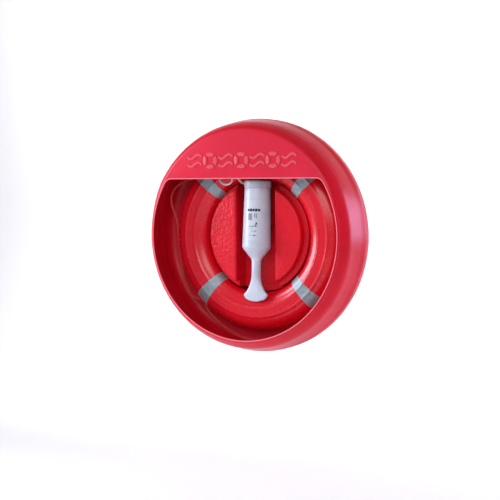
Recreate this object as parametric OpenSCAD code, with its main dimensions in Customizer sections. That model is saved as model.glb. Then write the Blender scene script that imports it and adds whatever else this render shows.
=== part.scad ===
// Wall or rail mounted lifebuoy station: an open-fronted round housing, a ring
// lifebuoy hung on its centre boss, and a bottle-shaped throwing line.
// Millimetres. The origin is the centre of the four fixing holes, on the plane that
// bears on the wall. +X is right, +Z is up and the open front faces -Y.
// Modules are drawn lying on the wall plane, with x right, y up and z off the wall,
// and stand_up() turns them into that frame.

/* [Ring lifebuoy] */
// Outside diameter of the ring
ring_od = 762; // [640:1:780]
// Inside diameter of the ring
ring_id = 470; // [440:1:500]
// Thickness of the ring from front to back, without its ridges
ring_thick = 100; // [70:1:110]
// Wall of the ring's shell
ring_wall = 3; // [2:0.5:6]
// Height of the two soft ridges round the ring's front
ridge_height = 2.2; // [0:0.1:4]
// Distance of each ridge from the middle of the tube
ridge_offset = 21; // [14:1:28]
// Width of the reflective bands
band_width = 50; // [30:1:80]
// Thickness of the reflective bands
band_thick = 0.8; // [0.4:0.1:2]
// Diameter of the grab line
grab_dia = 10; // [7:0.5:12]

/* [Housing] */
// Radius of the round opening
opening_r = 420; // [405:1:450]
// Wall of the mouldings
shell_wall = 5; // [3:0.5:8]
// Radial step from the opening to the crease
bevel_width = 37; // [25:1:50]
// Radial step from the crease to the widest part
flank_width = 15; // [5:1:20]
// Depth of the housing from the wall plane to the front face
housing_depth = 235; // [225:1:300]
// Height of the hood's lower edge above the housing's centre
hood_edge = 231; // [200:1:280]
// Width of the flat lip round the opening
lip_width = 3; // [2:0.5:8]
// Corner radius where the hood meets the round opening
corner_r = 34; // [15:1:60]
// Height of the raised symbols off the hood
symbol_height = 3.5; // [1:0.5:6]

/* [Centre boss] */
// Gap between the front pads and the inside of the ring
pad_gap = 25; // [21:1:55]
// Front of the pads, off the wall plane
pad_front = 129; // [110:1:135]
// Width of the channel that holds the bottle
channel_w = 180; // [150:1:200]
// Floor of the channel, off the wall plane
channel_floor = 44; // [38:1:48]

/* [Throwing line] */
// Diameter of the bottle at its shoulder
bottle_dia = 117; // [90:1:124]
// Diameter of the bottle at its cap
bottle_top_dia = 105; // [80:1:112]
// Length of the bottle from the cap's top to the handle's end
bottle_length = 494; // [440:1:500]
// Wall of the bottle
bottle_wall = 2.5; // [1.5:0.5:4]
// Diameter of the neck
neck_dia = 38; // [24:1:44]
// Width of the flared handle
handle_w = 102; // [70:1:130]
// Diameter of the throwing line
line_dia = 8; // [6:0.5:9]

/* [Fixings] */
// Distance between fixing holes, across and up
fixing_pitch = 380; // [360:1:400]
// Diameter of the fixing holes
fixing_hole = 9; // [7:0.5:11]
// Depth of the mounting rails
rail_depth = 15; // [12:1:20]

/* [Hidden] */
$fn = 96;
eps = 0.01;
fit_gap = 0.3;          // between curved faces that sit in each other

// Stations off the wall plane
back_face = rail_depth;                 // outside of the back shell
back_inner = back_face + shell_wall;    // floor inside the housing
seam = 93;                              // joint between front cover and back shell
crease_drop = 51;                       // from the front face back to the crease

// Housing radii
lip_r = opening_r + lip_width;
crease_r = lip_r + bevel_width;
flank_r = crease_r + flank_width;
back_round = 46;                        // corner radius of the back
back_r = flank_r - back_round;          // edge of the flat back
spigot_len = 22;

// Ring
ring_mid = 80;                          // mid plane of the ring off the wall plane
tube_r = (ring_od + ring_id) / 4;       // radius of the tube's centre line
tube_a = (ring_od - ring_id) / 4;       // half width of the tube
tube_b = ring_thick / 2;
hub_gap = 1;                            // the ring hangs this far off the hub's top
hub_r = ring_id / 2 - 5;                // drum that carries the ring
ring_drop = ring_id / 2 - hub_r - hub_gap;
hub_front = 95;
pad_r = ring_id / 2 - pad_gap;
band_angle = band_width / tube_r * 180 / PI;

// Bottle: its axis leans forwards at the handle
bottle_x = 7;
bottle_lean = 3.1;
bottle_off_wall = 123;                  // axis off the wall plane at the housing's centre
cap_clear = 11;                         // between the cap's top and the inside of the ring
bottle_top = ring_id / 2 - cap_clear;
cap_height = 31;
cap_gap = 0.4;
shoulder_at = -45;
neck_top = -93;
neck_end = -181;
handle_end = bottle_top - bottle_length;
handle_thick = 18;
cap_r = bottle_top_dia / 2 + 2.5;

channel_x = 2;
screw_r = 3;
post_r = 9;
post_drop = 72;                         // from the rails' centre lines to the posts
posts = [for (sx = [-1, 1], sy = [-1, 1]) [sx * 140 + channel_x, sy * (fixing_pitch / 2 - post_drop)]];

// Rails and their holes
rail_height = 46;
rail_length = fixing_pitch + 70;
rail_sheet = 2;
rail_flange = 14;
spacer_r = fixing_hole / 2 + 3;
rail_rivet_y = rail_height / 2 + rail_flange / 2 - 1;     // from the rail's centre line
drum_gap = 17.4;                        // the outer rivets stay this far outside the drum
rail_rivet_x = sqrt(max(pow(60, 2), pow(hub_r + drum_gap, 2) - pow(fixing_pitch / 2 + rail_rivet_y, 2)));
rail_rivet_r = 3.2;

// ---------- helpers ----------
module stand_up() { rotate([90, 0, 0]) children(); }
module in_bottle() {
    translate([bottle_x, -bottle_off_wall, 0]) rotate([-bottle_lean, 0, 0]) children();
}
module in_ring() { translate([0, 0, -ring_drop]) stand_up() translate([0, 0, ring_mid]) children(); }
function arc(c, r, from, to, steps) =
    [for (i = [0 : steps]) let (a = from + (to - from) * i / steps) c + r * [cos(a), sin(a)]];
function mix(a, b, t) = a * (1 - t) + b * t;

// ---------- housing ----------
// Outside of the bevel: a shallow bulge between the lip and the crease
function bevel(inset) = [for (i = [0 : 10]) let (t = i / 10, bulge = 7 * sin(180 * t))
    mix([lip_r, housing_depth - inset], [crease_r - inset, housing_depth - crease_drop], t)
    + bulge * [0.8, 0.6]];
function flank(inset) = [for (i = [1 : 6]) let (t = i / 6)
    [crease_r - inset + flank_width * sin(90 * t), mix(housing_depth - crease_drop, seam, t)]];

// The hood's rounded corners end just outside the opening, where they cross its edge
corner_y = hood_edge - corner_r;
corner_reach = opening_r + 1;
corner_x = sqrt(pow(corner_reach - corner_r, 2) - pow(corner_y, 2));
corner_angle = atan2(corner_y, corner_x);
module hood_outline() {
    far = 2 * opening_r;
    polygon(concat(
        arc([corner_x, corner_y], corner_r, 90, corner_angle, 8),
        [[far, far * tan(corner_angle)], [far, far], [-far, far], [-far, far * tan(corner_angle)]],
        arc([-corner_x, corner_y], corner_r, 180 - corner_angle, 90, 8)));
}

module life_ring_symbol(size) {
    difference() {
        circle(d = size);
        circle(d = size * 0.5);
        for (a = [45, 135]) rotate(a) square([size * 1.1, size * 0.11], center = true);
    }
}
module wave_symbol(size, stroke) {
    r = size / 4;
    for (y = [-size * 0.24, size * 0.24], side = [-1, 1])
        translate([side * r, y]) intersection() {
            difference() { circle(r = r + stroke / 2); circle(r = r - stroke / 2); }
            translate([-r - stroke, side > 0 ? -1 : -r - stroke + 1])
                square([2 * (r + stroke), r + stroke]);
        }
}
symbol_size = 66;
symbol_pitch = 72;
symbol_sink = 1;        // overlap with the hood, so that the two join
module hood_symbols() {
    for (i = [-3 : 3]) translate([i * symbol_pitch, hood_edge + 75, housing_depth - symbol_sink])
        linear_extrude(symbol_height + symbol_sink) {
            if (i % 2 == 0) life_ring_symbol(symbol_size);
            else wave_symbol(symbol_size - 4, symbol_size / 6);
        }
}

module cover_rivet_places() {
    for (i = [0 : 7]) rotate([0, 0, 22.5 + 45 * i])
        translate([flank_r, 0, seam - spigot_len / 2]) rotate([0, -90, 0]) children();
}

module front_cover() {
    color("crimson") stand_up() difference() {
        union() {
            rotate_extrude($fn = 180) polygon(concat(
                [[0, housing_depth], [opening_r + lip_width / 2, housing_depth]],
                bevel(0), flank(0),
                [[flank_r - shell_wall - fit_gap, seam],
                 [flank_r - shell_wall - fit_gap, seam - spigot_len],
                 [flank_r - 2 * shell_wall, seam - spigot_len],
                 [flank_r - 2 * shell_wall, seam + 6]],
                [for (i = [5 : -1 : 1]) flank(shell_wall)[i - 1]],
                [for (i = [10 : -1 : 0]) bevel(shell_wall)[i]],
                [[0, housing_depth - shell_wall]]));
            hood_symbols();
        }
        difference() {                                    // the opening, below the hood
            translate([0, 0, housing_depth - 2 * shell_wall])
                cylinder(r = opening_r, h = 3 * shell_wall, $fn = 180);
            translate([0, 0, housing_depth - 3 * shell_wall])
                linear_extrude(5 * shell_wall) hood_outline();
        }
        cover_rivet_places() translate([0, 0, -5]) cylinder(r = 2.2, h = 40);
        for (a = [-97, -90, -83]) rotate([0, 0, a])       // drain holes at the bottom
            translate([opening_r, 0, seam + 18]) rotate([0, 90, 0]) cylinder(r = 5, h = 80);
    }
}

module back_shell() {
    color("firebrick") stand_up() difference() {
        rotate_extrude($fn = 180) polygon(concat(
            [[0, back_face]],
            arc([back_r, back_face + back_round], back_round, -90, 0, 6),
            [[flank_r, seam - eps], [flank_r - shell_wall, seam - eps]],
            arc([back_r, back_face + back_round], back_round - shell_wall, 0, -90, 6),
            [[0, back_inner]]));
        fixing_places() translate([0, 0, -1]) cylinder(d = fixing_hole, h = 60);
        rail_rivet_places() translate([0, 0, -1]) cylinder(r = rail_rivet_r + 0.1, h = 60);
        for (p = posts) translate([p[0], p[1], 0]) cylinder(r = screw_r + 0.2, h = 60);
        cover_rivet_places() translate([0, 0, -5]) cylinder(r = 2.2, h = 40);
    }
}

module cover_rivets() {
    color("crimson") stand_up() cover_rivet_places() {
        translate([0, 0, -1.8]) cylinder(r = 5, h = 1.7);
        translate([0, 0, -0.2]) cylinder(r = 2.1, h = 2 * shell_wall + 2);
    }
}

// ---------- centre boss ----------
module boss_body(inset, lift) {
    difference() {
        union() {
            translate([0, 0, back_inner - (lift > 0 ? 1 : 0)])
                cylinder(r1 = hub_r - inset, r2 = hub_r - 1 - inset,
                    h = hub_front - back_inner - inset + (lift > 0 ? 1 : 0), $fn = 180);
            translate([0, 0, hub_front - inset - 1])
                cylinder(r1 = pad_r + 2 - inset, r2 = pad_r - inset,
                    h = pad_front - hub_front + 1, $fn = 180);
        }
        translate([channel_x - channel_w / 2 - inset, -ring_od, channel_floor - inset])
            cube([channel_w + 2 * inset, 2 * ring_od, 200]);
    }
}
module centre_boss() {
    color("crimson") stand_up() difference() {
        union() {
            difference() { boss_body(0, 0); boss_body(shell_wall, 1); }
            for (p = posts) translate([p[0], p[1], back_inner])
                cylinder(r = post_r, h = pad_front - back_inner - shell_wall + 1);
        }
        for (p = posts) translate([p[0], p[1], back_inner - 1])
            cylinder(r = screw_r - 0.4, h = 41);
        for (x = [-1, 1]) translate([bottle_x + x * 24, cradle_at, back_inner + 4])
            cylinder(r = 2.2, h = channel_floor);
    }
}
module boss_screws() {
    color("silver") stand_up() for (p = posts) translate([p[0], p[1], 0]) {
        translate([0, 0, back_face - 1.6]) cylinder(r = 9, h = 1.6);      // washer
        translate([0, 0, back_face - 5.6]) cylinder(r = 5.5, h = 4 + eps, $fn = 6);
        translate([0, 0, back_face - 2]) cylinder(r = screw_r - 0.45, h = 34);
    }
}

// ---------- mounting rails ----------
module fixing_places() {
    for (x = [-1, 1], y = [-1, 1]) translate([x, y] * fixing_pitch / 2) children();
}
module rail_rivet_places() {
    for (x = [-1, 1], y = [-1, 1], side = [-1, 1])
        translate([x * rail_rivet_x, y * fixing_pitch / 2 + side * rail_rivet_y]) children();
}
module mounting_rail(side) {
    inner = rail_height - 2 * rail_sheet;
    color("lightgray") stand_up() difference() {
        translate([-rail_length / 2, side * fixing_pitch / 2, 0]) rotate([90, 0, 90])
            linear_extrude(rail_length) polygon([
                [-rail_height / 2, 0], [rail_height / 2, 0],
                [rail_height / 2, rail_depth - rail_sheet],
                [rail_height / 2 + rail_flange - 2, rail_depth - rail_sheet],
                [rail_height / 2 + rail_flange - 2, rail_depth],
                [inner / 2, rail_depth], [inner / 2, rail_sheet],
                [-inner / 2, rail_sheet], [-inner / 2, rail_depth],
                [-rail_height / 2 - rail_flange + 2, rail_depth],
                [-rail_height / 2 - rail_flange + 2, rail_depth - rail_sheet],
                [-rail_height / 2, rail_depth - rail_sheet]]);
        fixing_places() translate([0, 0, -1]) cylinder(d = fixing_hole, h = 20);
        rail_rivet_places() translate([0, 0, -1]) cylinder(r = rail_rivet_r + 0.1, h = 30);
    }
}
module rail_rivets() {
    color("silver") stand_up() rail_rivet_places() {
        translate([0, 0, back_face - rail_sheet - 2.2]) cylinder(r = 5.5, h = 2.2);
        translate([0, 0, back_face - rail_sheet - 0.5]) cylinder(r = rail_rivet_r, h = rail_sheet + shell_wall + 1);
        translate([0, 0, back_inner]) cylinder(r = 6.5, h = 2);
    }
}
module fixing_spacers() {
    color("silver") stand_up() fixing_places()
        translate([0, 0, rail_sheet]) difference() {
            cylinder(r = spacer_r, h = rail_depth - rail_sheet);
            translate([0, 0, -1]) cylinder(d = fixing_hole, h = rail_depth + 2);
        }
}

// ---------- bottle cradle ----------
cradle_at = 60;
cradle_h = 40;
cradle_top = 88;
module cradle_bore(extra) {
    in_bottle() translate([0, 0, -400]) cylinder(r = bottle_dia / 2 + extra, h = 800);
}
module bottle_cradle() {
    color("red") difference() {
        stand_up() translate([bottle_x - 48, cradle_at - cradle_h / 2, channel_floor])
            cube([96, cradle_h, cradle_top - channel_floor]);
        cradle_bore(0.6);
        stand_up() for (x = [-1, 1]) translate([bottle_x + x * 24, cradle_at, 0]) {
            cylinder(r = 2.6, h = 200);
            translate([0, 0, channel_floor + 4]) cylinder(r = 5.5, h = 100);
        }
    }
}
module cradle_screws() {
    color("silver") stand_up() for (x = [-1, 1]) translate([bottle_x + x * 24, cradle_at, 0]) {
        translate([0, 0, channel_floor - 8]) cylinder(r = 2.1, h = 12.2);
        translate([0, 0, channel_floor + 4]) cylinder(r = 4.8, h = 2.2);
    }
}

// ---------- ring lifebuoy ----------
// Height of the tube's surface at a distance d from its centre line
function ridge(d) = ridge_height * (exp(-pow((d - ridge_offset) / 5, 2)) + exp(-pow((d + ridge_offset) / 5, 2)));
function tube_point(a, grow, bump) = let (
    c = cos(a), s = sin(a), n = 2 / 2.25,
    x = (tube_a + grow) * sign(c) * pow(abs(c), n),
    y = (tube_b + grow) * sign(s) * pow(abs(s), n))
    [tube_r + x, y + (bump && s > 0 ? ridge(x) * min(1, 4 * s) : 0)];
function tube_arc(from, to, grow, bump, steps = 32) =
    [for (i = [0 : steps]) tube_point(from + (to - from) * i / steps, grow, bump)];

module ring_shell(front) {
    turn = front ? 1 : -1;
    rotate_extrude($fn = 180) polygon(concat(
        tube_arc(0, turn * 180, 0, true), tube_arc(turn * 180, 0, -ring_wall, false)));
}
plug_r = 12;
module ring_shell_front() { color("red") in_ring() ring_shell(true); }
module ring_shell_back() {
    color("red") in_ring() difference() {
        ring_shell(false);
        translate([0, tube_r, -tube_b - 5]) cylinder(r = plug_r, h = 20);
    }
}
module ring_foam_core() {
    color("khaki") in_ring() rotate_extrude($fn = 180)
        polygon(tube_arc(0, 348.75, -ring_wall - fit_gap, false, 31));
}
module ring_filler_plug() {
    color("red") in_ring() translate([0, tube_r, -tube_b]) {
        translate([0, 0, -1.8]) cylinder(r = plug_r + 4, h = 1.7);
        translate([0, 0, -0.2]) cylinder(r = plug_r - 0.2, h = ring_wall - 0.2);
    }
}
module reflective_band(at) {
    color("lightsteelblue") in_ring() rotate([0, 0, at - band_angle / 2])
        rotate_extrude(angle = band_angle, $fn = 180) difference() {
            polygon(tube_arc(0, 354.375, band_thick, true, 63));
            polygon(tube_arc(0, 354.375, 0.02, true, 63));
        }
}

// Saddles that hold the grab line against the ring, one over each band
saddle_base = ring_od / 2 + band_thick + 0.1;
saddle_len = 26;
saddle_rise = grab_dia + 7;
grab_r = saddle_base + grab_dia / 2 + 3;
grab_sleeve_len = 46;
saddle_gap = 3;         // slack round the grab line
module saddle_places() { for (a = [45 : 90 : 315]) rotate([0, 0, a]) children(); }
module grab_line_saddles() {
    color("red") in_ring() saddle_places() difference() {
        union() {
            translate([saddle_base, -saddle_len / 2, -9]) cube([saddle_rise, saddle_len, 18]);
            translate([saddle_base, -saddle_len / 2, -17]) cube([2.5, saddle_len, 34]);
        }
        translate([grab_r, 0, 0]) rotate([90, 0, 0])
            cylinder(d = grab_dia + saddle_gap, h = 2 * saddle_len, center = true);
        for (z = [-13, 13]) translate([saddle_base - 1, 0, z]) rotate([0, 90, 0])
            cylinder(r = 1.8, h = 5);
    }
}
module saddle_rivets() {
    color("silver") in_ring() saddle_places() for (z = [-13, 13])
        translate([saddle_base, 0, z]) rotate([0, 90, 0]) {
            cylinder(r = 1.7, h = 3);
            translate([0, 0, 2.5]) cylinder(r = 3.4, h = 1.4);
        }
}

// Grab line: half of its route, clockwise from the sleeve at the top, in the ring's
// plane and off its mid plane. The other half is its mirror image.
grab_half = [[24, 391, 4], [70, 386, 4], [125, 370, 3], [180, 346, 2], [232, 315, 0],
    [262, 290, 0], [276, 276, 0], [290, 262, 0], [322, 240, 4], [358, 224, 14],
    [388, 202, 22], [408, 168, 25], [409, 132, 25], [398, 98, 23], [387, 62, 18],
    [386, 20, 10], [387, -25, 4], [384, -72, 1], [378, -118, 0], [372, -160, 0],
    [366, -196, 0], [354, -230, 0], [332, -254, 0], [304, -264, 0], [289, -267, 0],
    [276, -276, 0], [264, -290, 0], [240, -325, 0], [200, -361, 0], [145, -396, 0],
    [80, -422, 0], [0, -433, 0]];
grab_scale = grab_r / 390.3;    // the saddles set the route's size
module grab_line() {
    turned = [for (i = [len(grab_half) - 2 : -1 : 0]) [-grab_half[i][0], grab_half[i][1], grab_half[i][2]]];
    color("orangered") in_ring()
        rope([for (p = concat(grab_half, turned)) [p[0] * grab_scale, p[1] * grab_scale, p[2]]], grab_dia, 78);
}
module grab_line_sleeve() {
    color("black") in_ring() translate([0, 391 * grab_scale, 4]) rotate([0, 90, 0])
        cylinder(r = grab_dia / 2 + 2, h = grab_sleeve_len, center = true);
}

// A smooth tube along points: a Catmull-Rom curve with rings that stay square to it
function spline(p, i, t) = let (
    a = p[max(i - 1, 0)], b = p[i], c = p[i + 1], d = p[min(i + 2, len(p) - 1)])
    0.5 * ((2 * b) + (c - a) * t + (2 * a - 5 * b + 4 * c - d) * t * t + (3 * b - a - 3 * c + d) * t * t * t);
function along(p, u) = let (i = min(floor(u), len(p) - 2)) spline(p, i, u - i);
function unit(v) = v / norm(v);
module rope(p, dia, rings, sides = 8) {
    last = len(p) - 1;
    at = [for (k = [0 : rings - 1]) along(p, k * last / (rings - 1))];
    aim = [for (k = [0 : rings - 1]) unit(at[min(k + 1, rings - 1)] - at[max(k - 1, 0)])];
    side = [for (k = 0, v = unit(cross(aim[0], [0.31, 0.17, 1])); k < rings;
        k = k + 1, v = k < rings ? unit(v - (v * aim[k]) * aim[k]) : v) v];
    points = [for (k = [0 : rings - 1], j = [0 : sides - 1]) let (a = 360 * j / sides)
        at[k] + dia / 2 * (cos(a) * side[k] + sin(a) * cross(aim[k], side[k]))];
    polyhedron(points, concat(
        [[for (j = [0 : sides - 1]) j]],
        [for (k = [0 : rings - 2], j = [0 : sides - 1])
            [k * sides + j, (k + 1) * sides + j, (k + 1) * sides + (j + 1) % sides, k * sides + (j + 1) % sides]],
        [[for (j = [sides - 1 : -1 : 0]) (rings - 1) * sides + j]]), convexity = 10);
}

// ---------- throwing line ----------
function bottle_r(z) = mix(bottle_dia, bottle_top_dia, (z - shoulder_at) / (bottle_top - shoulder_at)) / 2;
mouth_z = bottle_top - 6;
// Outside of the bottle from its open mouth to the foot of its shoulder
function bottle_side(inset) = let (low = neck_dia / 2 - inset) concat(
    [[bottle_r(mouth_z) - 3 - inset, mouth_z],
     [bottle_r(bottle_top - cap_height) - 3 - inset, bottle_top - cap_height],
     [bottle_r(bottle_top - cap_height) - inset, bottle_top - cap_height - 3]],
    [for (i = [0 : 8]) let (t = i / 8, s = t * t * (3 - 2 * t))
        [mix(bottle_dia / 2 - inset, low, mix(t, s, 0.45)), mix(shoulder_at, neck_top, t)]]);
module bottle_wall_shape() {
    low = neck_dia / 2;
    inner = bottle_side(bottle_wall);
    rotate_extrude() polygon(concat(
        bottle_side(0),
        [[low, neck_end - 10], [0, neck_end - 10], [0, neck_top - 20], [low - bottle_wall, neck_top - 20]],
        [for (i = [len(inner) - 1 : -1 : 0]) inner[i]]));
}
module handle_outline() {
    half = handle_w / 2;
    n = neck_dia / 2;
    bottom = handle_end + 32;
    rise = bottom - handle_end;
    polygon(concat(
        [[n - 2, neck_end + 24], [n, neck_end + 4], [half * 0.72, bottom + 20], [half - 2, bottom + 5]],
        [for (i = [0 : 14]) let (a = -180 * i / 14) [half * cos(a), bottom + rise * sin(a)]],
        [[-half + 2, bottom + 5], [-half * 0.72, bottom + 20], [-n, neck_end + 4], [-n + 2, neck_end + 24]]));
}
module throw_bottle() {
    color("gainsboro") in_bottle() {
        bottle_wall_shape();
        translate([0, handle_thick / 2, 0]) rotate([90, 0, 0])
            linear_extrude(handle_thick) handle_outline();
    }
}
module bottle_cap() {
    color("gainsboro") in_bottle() difference() {
        rotate_extrude() polygon([[0, bottle_top], [cap_r - 8, bottle_top], [cap_r - 3, bottle_top - 2],
            [cap_r, bottle_top - 7], [cap_r, bottle_top - cap_height + 0.5],
            [bottle_r(bottle_top - cap_height) - 3 + cap_gap, bottle_top - cap_height + 0.5],
            [bottle_r(mouth_z) - 3 + cap_gap, mouth_z + 1.5], [0, mouth_z + 1.5]]);
        translate([0, 0, tail_exit_z]) rotate([0, -90, 0]) cylinder(d = line_dia + 1.2, h = 200);
    }
}
module cap_seal() {
    color("black") in_bottle() translate([0, 0, mouth_z + 0.1]) difference() {
        cylinder(r = bottle_r(mouth_z) - 3.2, h = 1.2);
        translate([0, 0, -1]) cylinder(r = bottle_r(mouth_z) - 6.5, h = 4);
    }
}
module stowed_line() {
    color("white") in_bottle() difference() {
        translate([0, 0, shoulder_at + 5]) cylinder(r1 = bottle_dia / 2 - bottle_wall - 2,
            r2 = bottle_r(mouth_z) - 3 - bottle_wall - 2, h = mouth_z - shoulder_at - 45);
        translate([0, 0, shoulder_at - 5]) cylinder(r = 14, h = 400);
    }
}
label_w = 62;
label_z = [-20, 142];
module bottle_label() {
    half_angle = label_w / bottle_dia * 180 / PI;
    span = [for (z = label_z) bottle_r(z) + 0.05];
    color("white") in_bottle() rotate([0, 0, -90 - half_angle])
        rotate_extrude(angle = 2 * half_angle) polygon([
            [span[0], label_z[0]], [span[0] + 0.4, label_z[0]],
            [span[1] + 0.4, label_z[1]], [span[1], label_z[1]]]);
}

// Tail of the throwing line and its hand loop, in the bottle's frame as [x, y, z]
tail_exit_z = 212;
tail_route = [[-52, 0, 212], [-60, -1, 211], [-69, -6, 215], [-79, -14, 226], [-89, -24, 242],
    [-99, -33, 257], [-109, -38, 268], [-122, -40, 276], [-137, -40, 276], [-150, -40, 266],
    [-157, -40, 250], [-158, -40, 234], [-152, -40, 219], [-139, -40, 209], [-123, -40, 206],
    [-107, -40, 211], [-98, -40, 223], [-99, -41, 238], [-106, -41.5, 250], [-114, -42, 258]];
module tail_line() { color("white") in_bottle() rope(tail_route, line_dia, 44); }
module tail_sleeve() {
    color("black") in_bottle() translate([-107.5, -37.5, 261]) rotate([8, -42, 0])
        cylinder(r = line_dia + 1.5, h = 18, center = true);
}

front_cover();
back_shell();
cover_rivets();
centre_boss();
boss_screws();
mounting_rail(1);  // mounting_rail_upper
mounting_rail(-1);  // mounting_rail_lower
rail_rivets();
fixing_spacers();
bottle_cradle();
cradle_screws();
ring_shell_front();
ring_shell_back();
ring_foam_core();
ring_filler_plug();
reflective_band(45);  // reflective_band_upper_right
reflective_band(135);  // reflective_band_upper_left
reflective_band(225);  // reflective_band_lower_left
reflective_band(315);  // reflective_band_lower_right
grab_line();
grab_line_saddles();
saddle_rivets();
grab_line_sleeve();
throw_bottle();
bottle_label();
stowed_line();
bottle_cap();
cap_seal();
tail_line();
tail_sleeve();
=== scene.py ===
import math

import bmesh
import bpy
from mathutils import Matrix, Vector


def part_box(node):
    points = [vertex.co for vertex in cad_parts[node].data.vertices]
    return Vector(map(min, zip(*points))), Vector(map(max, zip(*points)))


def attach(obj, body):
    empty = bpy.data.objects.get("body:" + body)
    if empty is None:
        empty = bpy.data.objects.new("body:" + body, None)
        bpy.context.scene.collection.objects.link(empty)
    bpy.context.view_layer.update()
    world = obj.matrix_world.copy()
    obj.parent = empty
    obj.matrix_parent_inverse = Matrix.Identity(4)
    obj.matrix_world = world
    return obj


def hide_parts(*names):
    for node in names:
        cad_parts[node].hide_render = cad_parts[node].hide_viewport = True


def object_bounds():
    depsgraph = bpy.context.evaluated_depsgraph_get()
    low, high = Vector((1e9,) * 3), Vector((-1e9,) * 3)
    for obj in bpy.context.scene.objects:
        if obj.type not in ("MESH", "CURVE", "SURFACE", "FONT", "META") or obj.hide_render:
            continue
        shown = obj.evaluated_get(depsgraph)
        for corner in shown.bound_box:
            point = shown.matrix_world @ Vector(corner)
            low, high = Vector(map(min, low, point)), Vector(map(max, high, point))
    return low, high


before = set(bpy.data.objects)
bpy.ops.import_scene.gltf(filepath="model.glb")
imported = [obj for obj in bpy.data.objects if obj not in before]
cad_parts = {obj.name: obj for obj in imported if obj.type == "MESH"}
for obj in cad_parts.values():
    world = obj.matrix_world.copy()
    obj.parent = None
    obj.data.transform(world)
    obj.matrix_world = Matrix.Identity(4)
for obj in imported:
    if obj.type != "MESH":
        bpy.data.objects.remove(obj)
cadLow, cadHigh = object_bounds()

# Pieces are modelled in millimetres on the wall plane, with x right, y up and z off the wall,
# then stood up into the frame, where the front faces -Y
metre = 0.001
standUp = Matrix.Scale(metre, 4) @ Matrix.Rotation(math.radians(90), 4, "X")


# The camera, seen from the front and a little to its right
viewFrom = {
    "azimuth": 28.8,       # degrees round to the right of straight ahead
    "elevation": 2.6,
    "roll": -0.48,
    "distance": 6.783,     # metres from the front plane
    "lens": 121.6,         # millimetres, as the sensor's width is
    "aim": (0.0319, -0.0544),  # the picture's centre, right of and above the housing's
    "frontRise": 0.0035,   # the hood's symbols stand this far in front of the opening
    "sensor": 36,
    "farClip": 100,
}


def makeCamera():
    a, e = math.radians(viewFrom["azimuth"]), math.radians(viewFrom["elevation"])
    back = Vector((math.sin(a) * math.cos(e), -math.cos(a) * math.cos(e), math.sin(e)))
    right = Vector((math.cos(a), math.sin(a), 0))
    up = back.cross(right)
    turn = Matrix.Rotation(math.radians(viewFrom["roll"]), 3, back)
    right, up = turn @ right, turn @ up
    across, over = viewFrom["aim"]
    spot = Vector((0, cadLow.y + viewFrom["frontRise"], 0))       # centre of the opening
    spot += right * across + up * over + back * viewFrom["distance"]
    data = bpy.data.cameras.new("camera")
    data.lens = viewFrom["lens"]
    data.sensor_width = viewFrom["sensor"]
    data.clip_end = viewFrom["farClip"]
    camera = bpy.data.objects.new("camera", data)
    camera.matrix_world = Matrix((
        (right.x, up.x, back.x, spot.x),
        (right.y, up.y, back.y, spot.y),
        (right.z, up.z, back.z, spot.z),
        (0, 0, 0, 1)))
    bpy.context.scene.collection.objects.link(camera)
    bpy.context.scene.camera = camera


makeCamera()
print("camera made")


# Small tools
def mix(a, b, t):
    return a * (1 - t) + b * t


def ease(t):
    t = min(max(t, 0.0), 1.0)
    return t * t * (3 - 2 * t)


def curveThrough(points, count):
    # evenly stepped points on a smooth curve through the given ones
    known = [Vector(p) for p in points]
    made = []
    for i in range(count):
        u = i * (len(known) - 1) / (count - 1)
        k = min(int(u), len(known) - 2)
        t = u - k
        a, b, c = known[max(k - 1, 0)], known[k], known[k + 1]
        d = known[min(k + 2, len(known) - 1)]
        made.append(0.5 * ((2 * b) + (c - a) * t + (2 * a - 5 * b + 4 * c - d) * t * t
                           + (3 * b - a - 3 * c + d) * t ** 3))
    return made


def arcPoints(x, y, radius, start, end, steps):
    angles = [math.radians(mix(start, end, i / steps)) for i in range(steps + 1)]
    return [(x + radius * math.cos(a), y + radius * math.sin(a)) for a in angles]


def spinProfile(bm, profile, steps, closed=True, angle=360.0):
    # turns an outline of (radius, height) points round the z axis
    row = [bm.verts.new((r, 0, z)) for r, z in profile]
    pairs = list(zip(row, row[1:])) + ([(row[-1], row[0])] if closed else [])
    edges = [bm.edges.new(pair) for pair in pairs]
    part = angle < 360
    if part:
        bmesh.ops.rotate(bm, verts=row, matrix=Matrix.Rotation(math.radians(angle / 2), 3, "Z"))
    bmesh.ops.spin(bm, geom=row + edges, axis=(0, 0, 1), steps=steps, use_merge=not part,
                   angle=math.radians(-angle if part else 360))
    if part:
        bmesh.ops.holes_fill(bm, edges=[e for e in bm.edges if e.is_boundary], sides=0)


def growRow(bm, row, places):
    # extrudes a loop of vertices and puts the new loop at places
    edges = [bm.edges.get((a, b)) for a, b in zip(row, row[1:] + row[:1])]
    made = bmesh.ops.extrude_edge_only(bm, edges=edges)["geom"]
    fresh = {tuple(v.co): v for v in made if isinstance(v, bmesh.types.BMVert)}
    row = [fresh[tuple(v.co)] for v in row]
    for v, place in zip(row, places):
        v.co = place
    return row


def loftRows(bm, rows, closeStart=False, closeEnd=False, joinEnds=False):
    # a skin through rows of places, all with the same count
    first = [bm.verts.new(place) for place in rows[0]]
    for pair in zip(first, first[1:] + first[:1]):
        bm.edges.new(pair)
    row = first
    for places in rows[1:]:
        row = growRow(bm, row, places)
    if joinEnds:
        edges = [bm.edges.get(pair) for loop in (first, row)
                 for pair in zip(loop, loop[1:] + loop[:1])]
        bmesh.ops.bridge_loops(bm, edges=edges)
    for wanted, loop in ((closeStart, first), (closeEnd, row)):
        if wanted:
            bm.faces.new(loop)
    return first, row


def addCopy(bm, part, place):
    # moves a small part to its place and adds it to the piece
    bmesh.ops.transform(part, matrix=place, verts=part.verts)
    mesh = bpy.data.meshes.new("part")
    part.to_mesh(mesh)
    part.free()
    bm.from_mesh(mesh)
    bpy.data.meshes.remove(mesh)


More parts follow.
